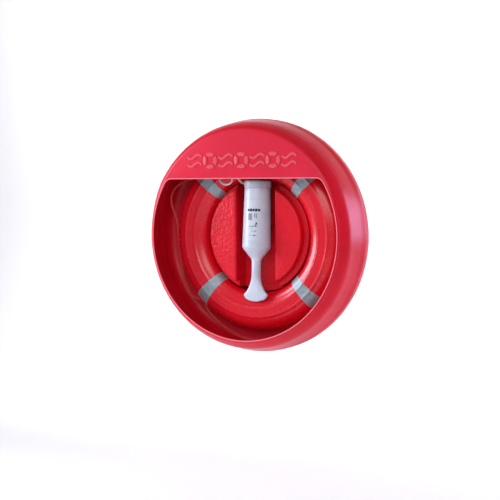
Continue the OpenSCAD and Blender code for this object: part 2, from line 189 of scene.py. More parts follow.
def addPiece(name, bm, body, material, nodes=(), sharp=38, place=standUp):
    # cleans the mesh, stands it in the frame and gives it its body, slot and nodes
    bmesh.ops.remove_doubles(bm, verts=bm.verts, dist=0.004)
    bmesh.ops.dissolve_degenerate(bm, edges=bm.edges, dist=0.002)
    bmesh.ops.recalc_face_normals(bm, faces=bm.faces)
    bmesh.ops.transform(bm, matrix=place, verts=bm.verts)
    for face in bm.faces:
        face.smooth = True
    mesh = bpy.data.meshes.new(name)
    bm.to_mesh(mesh)
    bm.free()
    mesh.set_sharp_from_angle(angle=math.radians(sharp))
    mesh.materials.append(material)
    piece = bpy.data.objects.new(name, mesh)
    bpy.context.scene.collection.objects.link(piece)
    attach(piece, body)
    if nodes:
        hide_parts(*nodes)
    return piece


def sizeOf(node):
    low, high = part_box(node)
    return low / metre, high / metre


# Materials
def paint(code):
    # an sRGB hex colour as linear values
    parts = [int(code[i:i + 2], 16) / 255 for i in (0, 2, 4)]
    return tuple(c / 12.92 if c <= 0.04045 else ((c + 0.055) / 1.055) ** 2.4 for c in parts) + (1,)


def addNode(tree, kind, inputs=None, **settings):
    node = tree.nodes.new(kind)
    for key, value in settings.items():
        setattr(node, key, value)
    for key, value in (inputs or {}).items():
        if isinstance(value, bpy.types.NodeSocket):
            tree.links.new(value, node.inputs[key])
        else:
            node.inputs[key].default_value = value
    return node


def newMaterial(name, fixed):
    material = bpy.data.materials.new(name)
    material.use_nodes = True
    tree = material.node_tree
    shader = tree.nodes["Principled BSDF"]
    for key, value in fixed.items():
        shader.inputs[key].default_value = value
    return material, tree, shader


def rampOf(tree, factor, stops):
    ramp = addNode(tree, "ShaderNodeValToRGB", {"Fac": factor})
    cells = ramp.color_ramp.elements
    while len(cells) < len(stops):
        cells.new(0.5)
    for cell, (position, value) in zip(cells, stops):
        cell.position = position
        cell.color = value if isinstance(value, tuple) else (value, value, value, 1)
    return ramp.outputs["Color"]


def twoTone(tree, pattern, dark, light, low=0.3, high=0.7):
    # a pattern's value as a blend of two colours
    return rampOf(tree, pattern.outputs["Fac"], [(low, paint(dark)), (high, paint(light))])


def mouldedPolyethylene(name, look):
    # rotomoulded polyethylene: deep red, glossy, with the soft orange peel of the mould
    material, tree, shader = newMaterial(name, {
        "IOR": 1.51, "Coat Weight": look["coat"], "Coat Roughness": 0.15,
        "Specular IOR Level": look["gloss"]})
    spot = addNode(tree, "ShaderNodeTexCoord").outputs["Object"]
    cloud = addNode(tree, "ShaderNodeTexNoise", {"Vector": spot, "Scale": 7.0, "Detail": 3.0})
    body = twoTone(tree, cloud, look["deep"], look["red"])
    # painted sheen: faces turned straight out to the front are tinted pink, a painted reflection of
    # the bright sky, strongest on the flat front
    facing = addNode(tree, "ShaderNodeSeparateXYZ", {
        "Vector": addNode(tree, "ShaderNodeNewGeometry").outputs["Normal"]})
    paintedSheen = addNode(tree, "ShaderNodeMapRange", {
        "Value": facing.outputs["Y"], "From Min": -0.75, "From Max": -1.0, "To Max": look["frontSheen"]})
    tone = addNode(tree, "ShaderNodeMix", {
        "Factor": paintedSheen.outputs["Result"], "A": body, "B": paint("DE5576")}, data_type="RGBA")
    # fine scuffs a few millimetres long
    stretch = addNode(tree, "ShaderNodeMapping", {"Vector": spot, "Scale": (60.0, 60.0, 14.0)})
    scuff = addNode(tree, "ShaderNodeTexNoise", {
        "Vector": stretch.outputs["Vector"], "Scale": 1.0, "Detail": 6.0, "Roughness": 0.7})
    shown = rampOf(tree, scuff.outputs["Fac"], [(0.62, 0.0), (0.78, look["scuff"])])
    highlightAndWear = addNode(tree, "ShaderNodeMix", {
        "Factor": shown, "A": tone.outputs["Result"], "B": paint("E88A93")}, data_type="RGBA")
    # painted highlight: the lip's rows are painted pale pink as a highlight on its rounded edge,
    # and the raised marks are rubbed paler
    highlightWearMask = addNode(tree, "ShaderNodeAttribute", attribute_name="highlightAndWear")
    edged = addNode(tree, "ShaderNodeMix", {
        "Factor": highlightWearMask.outputs["Fac"], "A": highlightAndWear.outputs["Result"], "B": paint("F27C86")},
        data_type="RGBA")
    tree.links.new(edged.outputs["Result"], shader.inputs["Base Color"])
    grain = addNode(tree, "ShaderNodeTexNoise", {"Vector": spot, "Scale": 40.0, "Detail": 5.0})
    rough = addNode(tree, "ShaderNodeMapRange", {
        "Value": grain.outputs["Fac"],
        "To Min": look["rough"] - 0.06, "To Max": look["rough"] + 0.08})
    tree.links.new(rough.outputs["Result"], shader.inputs["Roughness"])
    # orange peel, its bumps peelSize millimetres across
    peel = addNode(tree, "ShaderNodeTexNoise", {
        "Vector": spot, "Scale": 1 / (look["peelSize"] * metre * 1.6),
        "Detail": 2.0, "Roughness": 0.5})
    bump = addNode(tree, "ShaderNodeBump", {
        "Height": peel.outputs["Fac"], "Distance": look["peelDepth"] * metre, "Strength": 1.0})
    tree.links.new(bump.outputs["Normal"], shader.inputs["Normal"])
    return material


def retroTape(name, look):
    # glass-bead reflective tape: cool grey, a fine diamond grid and a soft white sheen
    material, tree, shader = newMaterial(name, {
        "Metallic": 0.35, "IOR": 1.5, "Sheen Weight": 0.4, "Sheen Roughness": 0.4})
    spot = addNode(tree, "ShaderNodeTexCoord").outputs["UV"]
    lines = []
    for turn in (45, -45):
        turned = addNode(tree, "ShaderNodeMapping", {
            "Vector": spot, "Rotation": (0, 0, math.radians(turn))})
        wave = addNode(tree, "ShaderNodeTexWave", {
            "Vector": turned.outputs["Vector"], "Scale": look["cells"]}, bands_direction="X")
        lines.append(rampOf(tree, wave.outputs["Fac"], [(0.0, 0.0), (0.16, 1.0)]))
    grid = addNode(tree, "ShaderNodeMix", {"Factor": 1.0, "A": lines[0], "B": lines[1]},
                   data_type="RGBA", blend_type="MULTIPLY")
    dirt = addNode(tree, "ShaderNodeTexNoise", {"Vector": spot, "Scale": 60.0, "Detail": 5.0})
    tone = twoTone(tree, dirt, look["shade"], look["light"], high=0.65)
    shown = addNode(tree, "ShaderNodeMix", {
        "Factor": grid.outputs["Result"], "A": paint(look["line"]), "B": tone}, data_type="RGBA")
    tree.links.new(shown.outputs["Result"], shader.inputs["Base Color"])
    rough = addNode(tree, "ShaderNodeMapRange", {
        "Value": dirt.outputs["Fac"], "To Min": 0.3, "To Max": 0.5})
    tree.links.new(rough.outputs["Result"], shader.inputs["Roughness"])
    bump = addNode(tree, "ShaderNodeBump", {"Height": grid.outputs["Result"], "Distance": 0.0002})
    tree.links.new(bump.outputs["Normal"], shader.inputs["Normal"])
    return material


def blownPolyethylene(name, look):
    # natural blow-moulded polyethylene: milky, a little see-through at the edges, satin
    material, tree, shader = newMaterial(name, {
        "IOR": 1.51, "Subsurface Weight": 0.25, "Subsurface Scale": 0.004, "Coat Weight": 0.15})
    spot = addNode(tree, "ShaderNodeTexCoord").outputs["Object"]
    cloud = addNode(tree, "ShaderNodeTexNoise", {"Vector": spot, "Scale": 16.0, "Detail": 4.0})
    tone = twoTone(tree, cloud, look["shade"], look["light"])
    tree.links.new(tone, shader.inputs["Base Color"])
    grain = addNode(tree, "ShaderNodeTexNoise", {"Vector": spot, "Scale": 350.0, "Detail": 3.0})
    rough = addNode(tree, "ShaderNodeMapRange", {
        "Value": grain.outputs["Fac"], "To Min": 0.3, "To Max": 0.48})
    tree.links.new(rough.outputs["Result"], shader.inputs["Roughness"])
    bump = addNode(tree, "ShaderNodeBump", {"Height": grain.outputs["Fac"], "Distance": 0.0003})
    tree.links.new(bump.outputs["Normal"], shader.inputs["Normal"])
    return material


def braidedPolypropylene(name, look):
    # floating braided rope: matte strands, with painted shade where they dive under each other
    material, tree, shader = newMaterial(name, {
        "Roughness": 0.62, "Sheen Weight": 0.25, "IOR": 1.49})
    braid = addNode(tree, "ShaderNodeAttribute", attribute_name="strand")
    # painted shade: low points of the braid get the dark gap colour, raised ones the strand colour
    tone = twoTone(tree, braid, look["gap"], look["strand"], low=0.0, high=0.6)
    spot = addNode(tree, "ShaderNodeTexCoord").outputs["Object"]
    fibre = addNode(tree, "ShaderNodeTexNoise", {"Vector": spot, "Scale": 900.0, "Detail": 3.0})
    shown = addNode(tree, "ShaderNodeMix", {
        "Factor": rampOf(tree, fibre.outputs["Fac"], [(0.45, 0.0), (0.75, 0.35)]),
        "A": tone, "B": paint(look["gap"])}, data_type="RGBA")
    tree.links.new(shown.outputs["Result"], shader.inputs["Base Color"])
    bump = addNode(tree, "ShaderNodeBump", {"Height": fibre.outputs["Fac"], "Distance": 0.0003})
    tree.links.new(bump.outputs["Normal"], shader.inputs["Normal"])
    return material


def plainSkin(name, look):
    # small mouldings, print and sleeves: one colour, with a fine grain in its gloss
    material, tree, shader = newMaterial(name, {"IOR": 1.5})
    spot = addNode(tree, "ShaderNodeTexCoord").outputs["Object"]
    grain = addNode(tree, "ShaderNodeTexNoise", {
        "Vector": spot, "Scale": look["grain"], "Detail": 4.0})
    tone = twoTone(tree, grain, look["shade"], look["light"])
    tree.links.new(tone, shader.inputs["Base Color"])
    rough = addNode(tree, "ShaderNodeMapRange", {
        "Value": grain.outputs["Fac"],
        "To Min": look["rough"] - 0.08, "To Max": look["rough"] + 0.08})
    tree.links.new(rough.outputs["Result"], shader.inputs["Roughness"])
    bump = addNode(tree, "ShaderNodeBump", {"Height": grain.outputs["Fac"], "Distance": 0.0002})
    tree.links.new(bump.outputs["Normal"], shader.inputs["Normal"])
    return material


def galvanisedSteel(name):
    # hot-dip galvanised strip: grey spangle a centimetre across, dull in patches
    material, tree, shader = newMaterial(name, {"Metallic": 0.9})
    spot = addNode(tree, "ShaderNodeTexCoord").outputs["Object"]
    spangle = addNode(tree, "ShaderNodeTexVoronoi", {"Vector": spot, "Scale": 90.0})
    tone = rampOf(tree, spangle.outputs["Color"], [(0.2, paint("8E9499")), (0.8, paint("B9BEC2"))])
    tree.links.new(tone, shader.inputs["Base Color"])
    rough = addNode(tree, "ShaderNodeMapRange", {
        "Value": spangle.outputs["Color"], "To Min": 0.32, "To Max": 0.55})
    tree.links.new(rough.outputs["Result"], shader.inputs["Roughness"])
    return material


def turnedSteel(name):
    # stainless fasteners: bright, with fine turning marks
    material, tree, shader = newMaterial(name, {"Metallic": 1.0})
    spot = addNode(tree, "ShaderNodeTexCoord").outputs["Object"]
    marks = addNode(tree, "ShaderNodeTexNoise", {"Vector": spot, "Scale": 600.0, "Detail": 4.0})
    tone = twoTone(tree, marks, "9A9DA0", "D0D2D4")
    tree.links.new(tone, shader.inputs["Base Color"])
    rough = addNode(tree, "ShaderNodeMapRange", {
        "Value": marks.outputs["Fac"], "To Min": 0.2, "To Max": 0.38})
    tree.links.new(rough.outputs["Result"], shader.inputs["Roughness"])
    return material


# each look below sets the strength of the painted sheen on its front faces
housingRed = mouldedPolyethylene("glossyRotomouldedPolyethylene", {
    "red": "DA0826", "deep": "CC061D", "rough": 0.34, "coat": 0.04, "gloss": 0.2, "frontSheen": 0.2,
    "scuff": 0.12, "peelSize": 9, "peelDepth": 0.12})
bossRed = mouldedPolyethylene("pebbledRotomouldedPolyethylene", {
    "red": "DE0A22", "deep": "CE071C", "rough": 0.34, "coat": 0.05, "gloss": 0.25, "frontSheen": 0.03,
    "scuff": 0.16, "peelSize": 7, "peelDepth": 2.2})
ringRed = mouldedPolyethylene("blowMouldedPolyethyleneRing", {
    "red": "E00A20", "deep": "D2081B", "rough": 0.25, "coat": 0.2, "gloss": 0.35, "frontSheen": 0.06,
    "scuff": 0.1, "peelSize": 14, "peelDepth": 0.15})
tape = retroTape("glassBeadReflectiveTape", {
    "light": "A9B8BC", "shade": "8C9FA6", "line": "6E858D", "cells": 60.0})
bottleWhite = blownPolyethylene("naturalBlowMouldedPolyethylene", {
    "light": "CED6E2", "shade": "BEC8D6"})
grabRope = braidedPolypropylene("redBraidedPolypropylene", {"strand": "E12A1E", "gap": "9C1210"})
whiteRope = braidedPolypropylene("whiteBraidedPolypropylene", {"strand": "F1F0EC", "gap": "A9A7A2"})
labelFilm = plainSkin("clearCoatedVinylLabel", {
    "light": "D0D8E4", "shade": "C4CDDA", "grain": 300.0, "rough": 0.35})
printBlack = plainSkin("blackScreenPrint", {
    "light": "20242A", "shade": "15181C", "grain": 400.0, "rough": 0.5})
printGrey = plainSkin("greyScreenPrint", {
    "light": "8E979D", "shade": "7A848B", "grain": 400.0, "rough": 0.5})
blackSleeve = plainSkin("blackHeatShrinkSleeve", {
    "light": "26272A", "shade": "17181A", "grain": 500.0, "rough": 0.45})
paleFoam = plainSkin("closedCellPolyurethaneFoam", {
    "light": "E3D6A4", "shade": "CDBB83", "grain": 500.0, "rough": 0.85})
zincSteel = galvanisedSteel("galvanisedStripSteel")
boltSteel = turnedSteel("turnedStainlessSteel")
print("materials made")


# Cords
def sweepRope(line, look):
    # a braided tube along the line; "strand" says how high each point stands in the braid, which
    # sets how much painted shade it gets
    bm = bmesh.new()
    level = bm.verts.layers.float.new("strand")
    radius, sides = look["diameter"] / 2, look["sides"]
    across = Vector((0.31, 0.17, 1)).cross(line[1] - line[0]).normalized()     # any way but along
    gone = 0.0
    rows, heights = [], []
    for k, place in enumerate(line):
        aim = (line[min(k + 1, len(line) - 1)] - line[max(k - 1, 0)]).normalized()
        across = (across - across.dot(aim) * aim).normalized()
        over = aim.cross(across)
        gone += (place - line[k - 1]).length if k else 0
        twist = gone / look["pitch"] * 2 * math.pi
        row = []
        for j in range(sides):
            turn = 2 * math.pi * j / sides
            plait = look["strands"] / 2 * turn
            raised = abs(math.sin(plait + twist) * math.sin(plait - twist))
            reach = radius * (1 - look["relief"] * (1 - raised))
            row.append(place + reach * (math.cos(turn) * across + math.sin(turn) * over))
            heights.append(raised)
        rows.append(row)
    loftRows(bm, rows, closeStart=True, closeEnd=True)
    for v, height in zip(bm.verts, heights):
        v[level] = height
    return bm


grabLineSizes = {
    "diameter": 10, "sides": 20, "rings": 760, "strands": 8, "pitch": 24, "relief": 0.12,
    "saddleRise": 8,        # centre of the rope off the bands
    "bandRise": 0.9,
    "reach": 390.3,         # how far out the route is drawn at the saddles
    "half": (
        (24, 391, 4), (70, 386, 4), (125, 370, 3), (180, 346, 2), (232, 315, 0),
        (262, 290, 0), (276, 276, 0), (290, 262, 0), (322, 240, 4), (358, 224, 14),
        (388, 202, 22), (408, 168, 25), (409, 132, 25), (398, 98, 23), (387, 62, 18),
        (386, 20, 10), (387, -25, 4), (384, -72, 1), (378, -118, 0), (372, -160, 0),
        (366, -196, 0), (354, -230, 0), (332, -254, 0), (304, -264, 0), (289, -267, 0),
        (276, -276, 0), (264, -290, 0), (240, -325, 0), (200, -361, 0), (145, -396, 0),
        (80, -422, 0), (0, -433, 0)),
}
handLoopSizes = {
    "diameter": 8, "sides": 20, "rings": 300, "strands": 8, "pitch": 20, "relief": 0.12,
    "route": (
        (-52, 0, 212), (-60, -1, 211), (-69, -6, 215), (-79, -14, 226), (-89, -24, 242),
        (-99, -33, 257), (-109, -38, 268), (-122, -40, 276), (-137, -40, 276), (-150, -40, 266),
        (-157, -40, 250), (-158, -40, 234), (-152, -40, 219), (-139, -40, 209), (-123, -40, 206),
        (-107, -40, 211), (-98, -40, 223), (-99, -41, 238), (-106, -41.5, 250), (-114, -42, 258)),
}
ringLow, ringHigh = sizeOf("ring_shell_front")
ringBackLow, ringBackHigh = sizeOf("ring_shell_back")
ringDrop = (ringLow.z + ringHigh.z) / 2                 # the ring's centre below the housing's
ringMid = -ringBackLow.y                                # where its two halves meet, off the wall
ringPlace = (Matrix.Translation((0, 0, ringDrop * metre)) @ standUp
             @ Matrix.Translation((0, 0, ringMid)))
bottleSpot = {"x": 7, "offWall": 123, "lean": 3.1}      # the bottle's axis
bottlePlace = (Matrix.Translation((bottleSpot["x"] * metre, -bottleSpot["offWall"] * metre, 0))
               @ Matrix.Rotation(math.radians(-bottleSpot["lean"]), 4, "X")
               @ Matrix.Scale(metre, 4))


def makeGrabLine():
    s = grabLineSizes
    # the saddles set the route's size
    grow = (ringHigh.x + s["bandRise"] + s["saddleRise"]) / s["reach"]
    whole = s["half"] + tuple((-x, y, z) for x, y, z in s["half"][-2::-1])
    line = curveThrough([(x * grow, y * grow, z) for x, y, z in whole], s["rings"])
    bm = sweepRope(line, s)
    rope = addPiece("grabLine", bm, "ring", grabRope, ["grab_line"], place=ringPlace)


def makeHandLoop():
    s = handLoopSizes
    line = curveThrough(s["route"], s["rings"])
    bm = sweepRope(line, s)
    rope = addPiece("handLoop", bm, "cap", whiteRope, ["tail_line"],
                    place=bottlePlace)


makeGrabLine()
makeHandLoop()
print("cords made")


# Front cover
frontCoverSizes = {
    "opening": 420, "hoodEdge": 231, "corner": 34, "wall": 5, "lipRound": 2.4,
    "seam": 93, "spigot": 22, "spigotGap": 0.3, "bead": 1.2, "rollRows": 40, "symbolWear": 0.35,
    # radius and depth from the lip back over the shoulder, on the lower rim and on the hood
    "lowRoll": (
        (425.3, 0), (427, 1.1), (429, 3.8), (432.4, 9), (437, 15.8), (443, 24.1), (449, 32.4),
        (454, 39.6), (457.5, 45.6), (460, 52.5), (461.8, 62), (464.6, 80), (468.3, 102),
        (472.4, 126)),
    "hoodRoll": (
        (426, 0), (431, 1.6), (436, 5), (441, 9.8), (446, 16.5), (450.5, 24), (454.5, 33),
        (458, 43), (460.8, 54), (463, 67), (465.5, 82), (468, 98), (470.3, 113), (472.6, 128)),
    "hoodFade": 24,          # degrees over which the fuller shoulder dies away below the hood
    "symbol": 66, "pitch": 72, "rise": 3.5, "symbolUp": 75, "soften": 1.6,
}


def openingOutline():
    # the opening's edge as (place, direction into the material, angle round the housing)
    s = frontCoverSizes
    reach = s["opening"] - s["corner"]
    up = s["hoodEdge"] - s["corner"]
    across = math.sqrt(reach ** 2 - up ** 2)
    meet = math.degrees(math.atan2(up, across))
    places = arcPoints(0, 0, s["opening"], 180 - meet, 360 + meet, 220)
    places += arcPoints(across, up, s["corner"], meet, 90, 12)[1:]
    places += [(mix(across, -across, i / 90), s["hoodEdge"]) for i in range(1, 91)]
    places += arcPoints(-across, up, s["corner"], 90, 180 - meet, 12)[1:-1]
    made = []
    for i, (x, y) in enumerate(places):
        ahead, behind = places[(i + 1) % len(places)], places[i - 1]
        along = Vector((ahead[0] - behind[0], ahead[1] - behind[1])).normalized()
        made.append((Vector((x, y)), Vector((along.y, -along.x)), math.degrees(math.atan2(y, x))))
    return made, meet


def makeFrontCover():
    s = frontCoverSizes
    outline, meet = openingOutline()
    depth = -cadLow.y / metre - s["rise"]
    flank = cadHigh.x / metre

    def fullness(angle):         # 1 on the hood, 0 on the lower rim
        if -150 <= angle <= -90:
            return 0
        below = max(meet - angle, angle - (180 - meet)) if angle > -90 else angle + 180 + meet
        return 1 - ease(below / s["hoodFade"])

    def nearEdge(offset, z):
        return [Vector((p.x + n.x * offset, p.y + n.y * offset, z)) for p, n, a in outline]

    def roundRow(low, hood, z, inset=0):
        row = []
        for p, n, a in outline:
            r = mix(low, hood, fullness(a)) - inset
            row.append(Vector((r * math.cos(math.radians(a)), r * math.sin(math.radians(a)), z)))
        return row

    def circleRow(r, z):
        return roundRow(r, r, z)

    low = curveThrough([(r, z, 0) for r, z in s["lowRoll"]], s["rollRows"])
    hood = curveThrough([(r, z, 0) for r, z in s["hoodRoll"]], s["rollRows"])
    rolls = list(zip(low, hood))
    lip, wall, seam, bead = s["lipRound"], s["wall"], s["seam"], s["bead"]
    spigotFoot, spigotOut = seam - s["spigot"], flank - wall - s["spigotGap"]
    # the inside, up from the spigot's foot to the back of the lip
    rows = [circleRow(flank - 2 * wall, spigotFoot), circleRow(flank - 2 * wall, seam + 4)]
    rows += [roundRow(a.x, b.x, depth - mix(a.y, b.y, 0.5), wall) for a, b in rolls[:3:-1]]
    rows += [nearEdge(12, depth - wall), nearEdge(lip, depth - wall)]
    for a in (30, 60, 90):
        turn = math.radians(a)
        rows.append(nearEdge(lip - lip * math.sin(turn), depth - wall + lip - lip * math.cos(turn)))
    # the lip, whose rows get a painted highlight, and the outside down to the seam
    lipAt = len(rows)
    for a in (0, 30, 60, 90):
        turn = math.radians(a)
        rows.append(nearEdge(lip - lip * math.cos(turn), depth - lip + lip * math.sin(turn)))
    rows.append(nearEdge(lip + 1.6, depth))
    lipEnd = len(rows)
    rows.append(nearEdge(lip + 2.4, depth))
    rows += [roundRow(a.x, b.x, depth - mix(a.y, b.y, 0.5)) for a, b in rolls]
    rows += [circleRow(r, seam + up) for r, up in (
        (flank, 9), (flank, 5), (flank + bead, 3.5), (flank + bead, 1), (flank - 0.4, 0))]
    rows += [circleRow(spigotOut, seam), circleRow(spigotOut, spigotFoot)]
    bm = bmesh.new()
    loftRows(bm, rows, joinEnds=True)
    # painted highlight: the lip's rows are marked 1 here, and the material paints them pale pink
    highlightAndWear = bm.verts.layers.float.new("highlightAndWear")
    nearLip = {tuple(p) for row in rows[lipAt:lipEnd] for p in row}
    for v in bm.verts:
        v[highlightAndWear] = 1.0 if tuple(v.co) in nearLip else 0.0
    before = len(bm.verts)
    addHoodSymbols(bm, depth)
    bm.verts.ensure_lookup_table()
    for v in bm.verts[before:]:
        v[highlightAndWear] = s["symbolWear"]
    addPiece("frontCover", bm, "housing", housingRed, ["front_cover"], sharp=50)


def raisedShape(bm, outline, low, high, soften):
    # a pad with soft edges on the hood, from a closed outline drawn anticlockwise
    def inset(amount, z):
        row = []
        for i, (x, y) in enumerate(outline):
            ahead, behind = outline[(i + 1) % len(outline)], outline[i - 1]
            along = Vector((ahead[0] - behind[0], ahead[1] - behind[1])).normalized()
            row.append(Vector((x - along.y * amount, y + along.x * amount, z)))
        return row

    rows = [inset(soften * amount, mix(low, high, up)) for amount, up in (
        (-0.6, 0), (-0.2, 0.35), (0, 0.7), (0.35, 0.92), (1, 1))]
    loftRows(bm, rows, closeStart=True, closeEnd=True)


def addHoodSymbols(bm, depth):
    # ring symbols and waves stand in for lettering
    s = frontCoverSizes
    low, high = depth - 1, depth + s["rise"]
    size = s["symbol"]
    for i in range(-3, 4):
        x, y = i * s["pitch"], s["hoodEdge"] + s["symbolUp"]
        if i % 2 == 0:
            for turn in range(0, 360, 90):
                outer = arcPoints(x, y, size / 2, turn - 38, turn + 38, 10)
                inner = arcPoints(x, y, size / 4, turn + 31, turn - 31, 8)
                raisedShape(bm, outer + inner, low, high, s["soften"])
        else:
            for up in (-size * 0.24, size * 0.24):
                top, bottom = [], []
                for k in range(25):
                    t = k / 24
                    px = x - size * 0.5 + t * size
                    py = y + up + size * 0.13 * math.sin(2 * math.pi * (t + 0.5))
                    slope = 0.82 * math.cos(2 * math.pi * (t + 0.5))
                    across = Vector((-slope, 1)).normalized() * size / 13
                    top.append((px + across.x, py + across.y))
                    bottom.append((px - across.x, py - across.y))
                raisedShape(bm, bottom + top[::-1], low, high, s["soften"])


makeFrontCover()


# Back shell
backShellSizes = {
    "wall": 5, "round": 46, "rim": 92.6, "foot": 15,
    "swage": (316, 398, 4),      # a pressed ring that stiffens the back: from, to, depth
    "flat": (0, 80, 200, 280),
}


def makeBackShell():
    s = backShellSizes
    flank = cadHigh.x / metre
    foot, wall = s["foot"], s["wall"]
    start, end, deep = s["swage"]
    dip = [(start - 10, 0), (start - 6, 0.1), (start, 0.5), (start + 6, 0.9), (start + 10, 1),
           (end - 10, 1), (end - 6, 0.9), (end, 0.5), (end + 6, 0.1), (end + 10, 0)]
    outside = [(r, foot) for r in s["flat"]] + [(r, foot + deep * t) for r, t in dip]
    outside += arcPoints(flank - s["round"], foot + s["round"], s["round"], -90, 0, 18)
    outside += [(flank, 70), (flank, s["rim"] - 1.2), (flank - 1.2, s["rim"])]
    inside = [(r, foot + wall) for r in s["flat"]] + [(r, foot + wall + deep * t) for r, t in dip]
    inside += arcPoints(flank - s["round"], foot + s["round"], s["round"] - wall, -90, 0, 12)
    inside += [(flank - wall, s["rim"] - 1), (flank - wall + 1, s["rim"])]
    bm = bmesh.new()
    spinProfile(bm, outside + inside[::-1], 240, closed=False)
    addPiece("backShell", bm, "housing", housingRed, ["back_shell"], sharp=45)


makeBackShell()


# Push rivets round the seam
coverRivetSizes = {
    "count": 8, "first": 22.5, "up": 82, "sides": 20,
    "profile": (
        (0, 1.9), (2.2, 1.8), (3.8, 1.3), (4.8, 0.5), (5, 0), (2.1, -0.1), (2.1, -9), (0, -9)),
}


def makeCoverRivets():
    s = coverRivetSizes
    flank = cadHigh.x / metre
    bm = bmesh.new()
    for i in range(s["count"]):
        one = bmesh.new()
        spinProfile(one, s["profile"], s["sides"], closed=False)
        turn = Matrix.Rotation(math.radians(s["first"] + 360 / s["count"] * i), 4, "Z")
        addCopy(bm, one, turn @ Matrix.Translation((flank, 0, s["up"])) @ Matrix.Rotation(
            math.radians(90), 4, "Y"))
    addPiece("coverRivets", bm, "housing", housingRed, ["cover_rivets"])


makeCoverRivets()
print("housing made")


# Centre boss
bossSizes = {
    "pad": 210, "front": 129, "hub": 230, "hubFront": 95, "foot": 20.2,
    "middle": 2, "channel": 180, "floor": 44, "corner": 12, "edge": 7, "hubEdge": 4,
    "sink": 6,               # how far each pad reaches down into the drum
    "lap": 4,                # how far the channel's floor reaches under the drum
    "segments": 160,
}


def linkedTo(verts):
    # the vertices with all their edges and faces
    return (list(verts) + list({e for v in verts for e in v.link_edges})
            + list({f for v in verts for f in v.link_faces}))


def liftFace(bm, face, height):
    top = bmesh.ops.extrude_face_region(bm, geom=[face])["geom"]
    verts = [v for v in top if isinstance(v, bmesh.types.BMVert)]
    bmesh.ops.translate(bm, verts=verts, vec=(0, 0, height))
    return verts


def halfDisc(bm, radius, low, high, cut, side, corner, edge):
    # a disc cut off along x = cut, with its corners and front edge rounded
    made = bmesh.ops.create_circle(
        bm, cap_ends=True, segments=bossSizes["segments"], radius=radius)["verts"]
    bmesh.ops.translate(bm, verts=made, vec=(0, 0, low))
    bmesh.ops.bisect_plane(bm, geom=linkedTo(made), dist=0.001, clear_inner=True,
                           plane_co=(cut, 0, 0), plane_no=(side, 0, 0))
    face = [f for f in bm.faces if all(abs(v.co.z - low) < 0.01 for v in f.verts)
            and all(v.co.x * side > cut * side - 0.1 for v in f.verts)][-1]
    verts = liftFace(bm, face, high - low)
    uprights = [e for v in verts for e in v.link_edges
                if abs(v.co.x - cut) < 0.01 and abs(e.verts[0].co.z - e.verts[1].co.z) > 1]
    bmesh.ops.bevel(bm, geom=uprights, offset=corner, affect="EDGES", segments=6, profile=0.5,
                    material=-1)
    rim = [e for e in bm.edges if all(abs(v.co.z - high) < 0.01 for v in e.verts)
           and all(v.co.x * side > cut * side - 0.1 for v in e.verts)]
    bmesh.ops.bevel(bm, geom=rim, offset=edge, affect="EDGES", segments=4, profile=0.5, material=-1)


def makeCentreBoss():
    s = bossSizes
    bm = bmesh.new()
    for side in (-1, 1):
        cut = s["middle"] + side * s["channel"] / 2
        halfDisc(bm, s["hub"], s["foot"], s["hubFront"], cut, side, s["corner"], s["hubEdge"])
        halfDisc(bm, s["pad"], s["hubFront"] - s["sink"], s["front"], cut, side, s["corner"],
                 s["edge"])
    # the channel's floor: a strip of a disc, drawn at z 0 where nothing else is, then lifted
    bmesh.ops.create_circle(bm, cap_ends=True, segments=s["segments"], radius=s["hub"] - 0.5)
    for side in (-1, 1):
        own = [v for v in bm.verts if abs(v.co.z) < 0.01]
        edge = s["middle"] + side * (s["channel"] / 2 + s["lap"])
        bmesh.ops.bisect_plane(bm, geom=linkedTo(own), dist=0.001, clear_outer=True,
                               plane_co=(edge, 0, 0), plane_no=(side, 0, 0))
    face = [f for f in bm.faces if all(abs(v.co.z) < 0.01 for v in f.verts)][0]
    bmesh.ops.translate(bm, verts=face.verts, vec=(0, 0, s["foot"]))
    liftFace(bm, face, s["floor"] - s["foot"])
    addPiece("centreBoss", bm, "housing", bossRed, ["centre_boss"],
             sharp=50)


makeCentreBoss()
print("boss made")


# Ring
ringSizes = {
    "wall": 3, "ridgeHeight": 3.4, "ridgeOffset": 21, "ridgeWidth": 5, "power": 2.25,
    "flash": 0.6,            # the weld bead where the halves meet
    "bandWide": 50, "bandThick": 0.8,
    "bossGap": 5,            # the drum's radius is this much smaller than the ring's inside
}
ringOuter = ringHigh.x
ringBore = sizeOf("centre_boss")[1].x + ringSizes["bossGap"]
tubeAt = (ringOuter + ringBore) / 2
tubeWide = (ringOuter - ringBore) / 2
tubeDeep = ringBackHigh.y - ringBackLow.y


def tubePoint(angle, grow=0.0, ridged=True):
    # a point of the tube's squarish section, with two soft ridges on its front
    s = ringSizes
    c, n = math.cos(angle), 2 / s["power"]
    up = math.sin(angle)
    x = (tubeWide + grow) * math.copysign(abs(c) ** n, c)
    y = (tubeDeep + grow) * math.copysign(abs(up) ** n, up)
    if ridged and up > 0:
        for side in (-1, 1):
            off = (x + side * s["ridgeOffset"]) / s["ridgeWidth"]
            y += s["ridgeHeight"] * math.exp(-off ** 2) * min(1, 4 * up)
    return tubeAt + x, y


def tubeAngles(start, end, count):
    # evenly stepped, from degrees to radians
    return [math.radians(mix(start, end, i / count)) for i in range(count + 1)]


def makeRingHalf(name, node, front):
    s = ringSizes
    turn = 180 if front else -180
    outside = [tubePoint(a) for a in tubeAngles(0, turn, 72)]
    inside = [tubePoint(a, -s["wall"], False) for a in tubeAngles(turn, 0, 20)]
    flash = s["flash"]
    sign = 1 if front else -1
    outside[0] = (outside[0][0] + flash, 0.02 * sign)
    outside[-1] = (outside[-1][0] - flash, 0.02 * sign)
    bm = bmesh.new()
    spinProfile(bm, outside + inside, 240)
    addPiece(name, bm, "ring", ringRed, [node], place=ringPlace)


